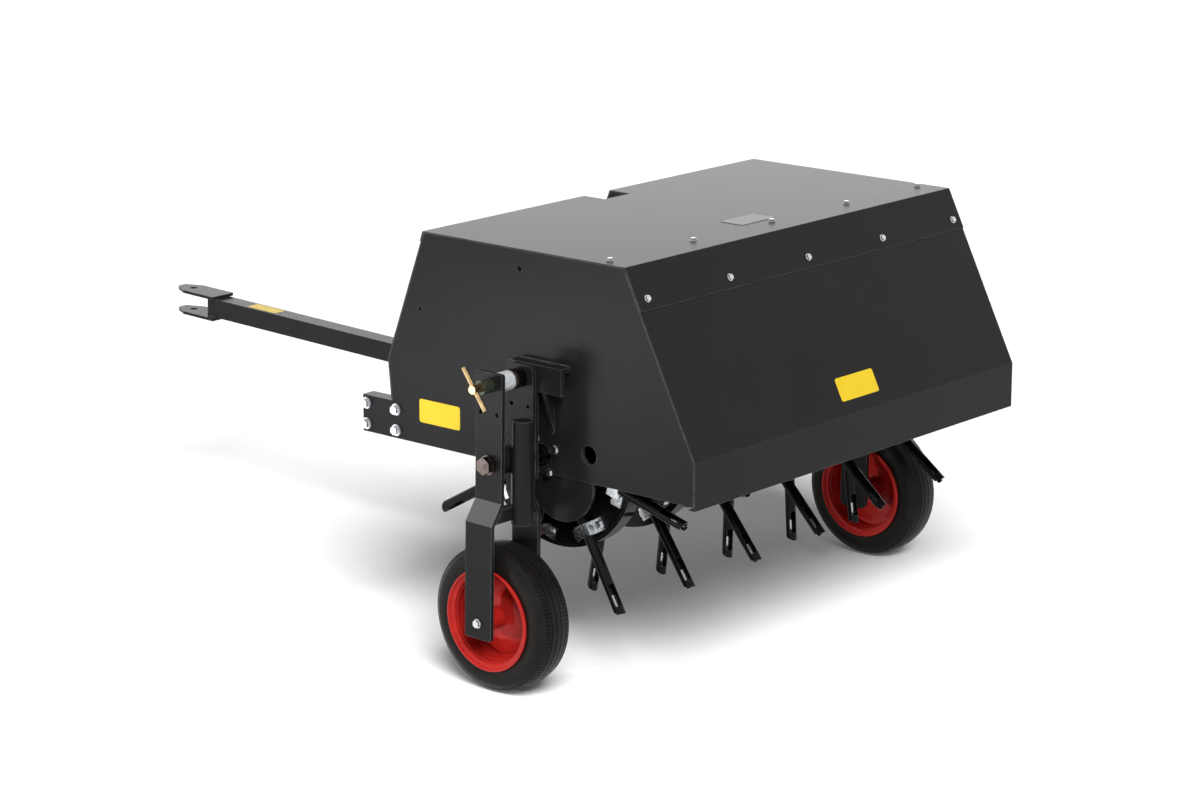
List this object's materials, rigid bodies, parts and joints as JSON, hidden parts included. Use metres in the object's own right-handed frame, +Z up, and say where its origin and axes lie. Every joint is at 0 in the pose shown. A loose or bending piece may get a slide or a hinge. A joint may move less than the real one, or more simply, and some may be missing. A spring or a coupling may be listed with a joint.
{
  "type": "tow behind aerator",
  "caption": "Towed lawn core aerator: sheet-metal hood over a reel of hollow tines, swinging wheel arms with spring lock plungers, and a folding drawbar with a clevis hitch.",
  "frame": {"origin": "on the ground, in the middle of the part's outline seen from above", "axes": "+Y forward along the drawbar, +X to the machine's right side, +Z up"},
  "size_m": [1.597, 2.2714, 0.9913],
  "materials": {
    "black_paint": "satin charcoal powder coat",
    "reel_paint": "gloss black paint",
    "zinc": "bright zinc plate",
    "shaft_steel": "turned steel",
    "bearing_iron": "painted casting",
    "bronze_zinc": "dull bronze plating",
    "brass": "polished",
    "plunger_green": "dark green-black plating",
    "red_paint": "gloss red enamel",
    "tyre": "matte rubber",
    "valve_rubber": "matte rubber",
    "data_plate": "blank satin plate"
  },
  "bodies": {
    "frame": {"top_cover": "black_paint", "rear_panel": "black_paint", "front_panels": "black_paint", "tongue_pocket": "black_paint", "left_side_plate": "black_paint", "right_side_plate": "black_paint", "rear_rail": "black_paint", "cover_bolts": "zinc", "data_plate": "data_plate", "front_beam": "black_paint", "beam_brackets": "black_paint", "tab_bolts": "zinc", "tongue_ears": "black_paint", "tongue_rest": "black_paint", "fold_bolt": "zinc", "bearing_hangers": "black_paint", "flange_bearings": "bearing_iron", "bearing_bolts": "zinc", "left_wheel_bracket": "black_paint", "right_wheel_bracket": "black_paint", "pivot_bolts": "bronze_zinc"},
    "drawbar": {"drawbar_tube": "black_paint", "fold_sleeve": "zinc", "upper_clevis_plate": "black_paint", "lower_clevis_plate": "black_paint"},
    "reel": {"rotor_shaft": "shaft_steel", "disc_hubs": "reel_paint", "tine_discs": "reel_paint", "disc_rims": "reel_paint", "tines": "reel_paint", "tine_clamps": "zinc", "clamp_bolts": "zinc"},
    "left_arm": {"left_outer_leg": "black_paint", "left_inner_leg": "black_paint", "left_crown_web": "black_paint", "left_lever_socket": "black_paint", "left_pivot_tube": "black_paint", "left_plunger_body": "plunger_green", "left_plunger_sleeve": "zinc", "left_plunger_spring": "shaft_steel", "left_axle": "zinc"},
    "left_plunger": {"left_lock_pin": "brass"},
    "left_wheel": {"left_tyre": "tyre", "left_rim": "red_paint", "left_wheel_bush": "bronze_zinc", "left_valve": "valve_rubber"},
    "right_arm": {"right_outer_leg": "black_paint", "right_inner_leg": "black_paint", "right_crown_web": "black_paint", "right_lever_socket": "black_paint", "right_pivot_tube": "black_paint", "right_plunger_body": "plunger_green", "right_plunger_sleeve": "zinc", "right_plunger_spring": "shaft_steel", "right_axle": "zinc"},
    "right_plunger": {"right_lock_pin": "brass"},
    "right_wheel": {"right_tyre": "tyre", "right_rim": "red_paint", "right_wheel_bush": "bronze_zinc", "right_valve": "valve_rubber"}
  },
  "joints": [
    {"name": "drawbar_fold", "type": "hinge", "parent": "frame", "child": "drawbar", "pos_m": [0, -0.18, 0.477], "axis": [1, 0, 0], "range_deg": [0, 108]},
    {"name": "reel_spin", "type": "hinge", "parent": "frame", "child": "reel", "pos_m": [0, -0.6985, 0.527], "axis": [1, 0, 0], "continuous": true},
    {"name": "left_arm_swing", "type": "hinge", "parent": "frame", "child": "left_arm", "pos_m": [-0.69, -0.669, 0.529], "axis": [-1, 0, 0], "range_deg": [0, 78]},
    {"name": "left_plunger_slide", "type": "slide", "parent": "left_arm", "child": "left_plunger", "axis": [-1, 0, 0], "range_m": [-0.012, 0.01], "stiffness_N_per_m": 800, "springref_m": -0.012},
    {"name": "left_wheel_spin", "type": "hinge", "parent": "left_arm", "child": "left_wheel", "pos_m": [-0.693, -0.66148, 0.17], "axis": [1, 0, 0], "continuous": true},
    {"name": "right_arm_swing", "type": "hinge", "parent": "frame", "child": "right_arm", "pos_m": [0.69, -0.669, 0.529], "axis": [-1, 0, 0], "range_deg": [0, 78]},
    {"name": "right_plunger_slide", "type": "slide", "parent": "right_arm", "child": "right_plunger", "axis": [1, 0, 0], "range_m": [-0.012, 0.01], "stiffness_N_per_m": 800, "springref_m": -0.012},
    {"name": "right_wheel_spin", "type": "hinge", "parent": "right_arm", "child": "right_wheel", "pos_m": [0.693, -0.66148, 0.17], "axis": [1, 0, 0], "continuous": true}
  ]
}
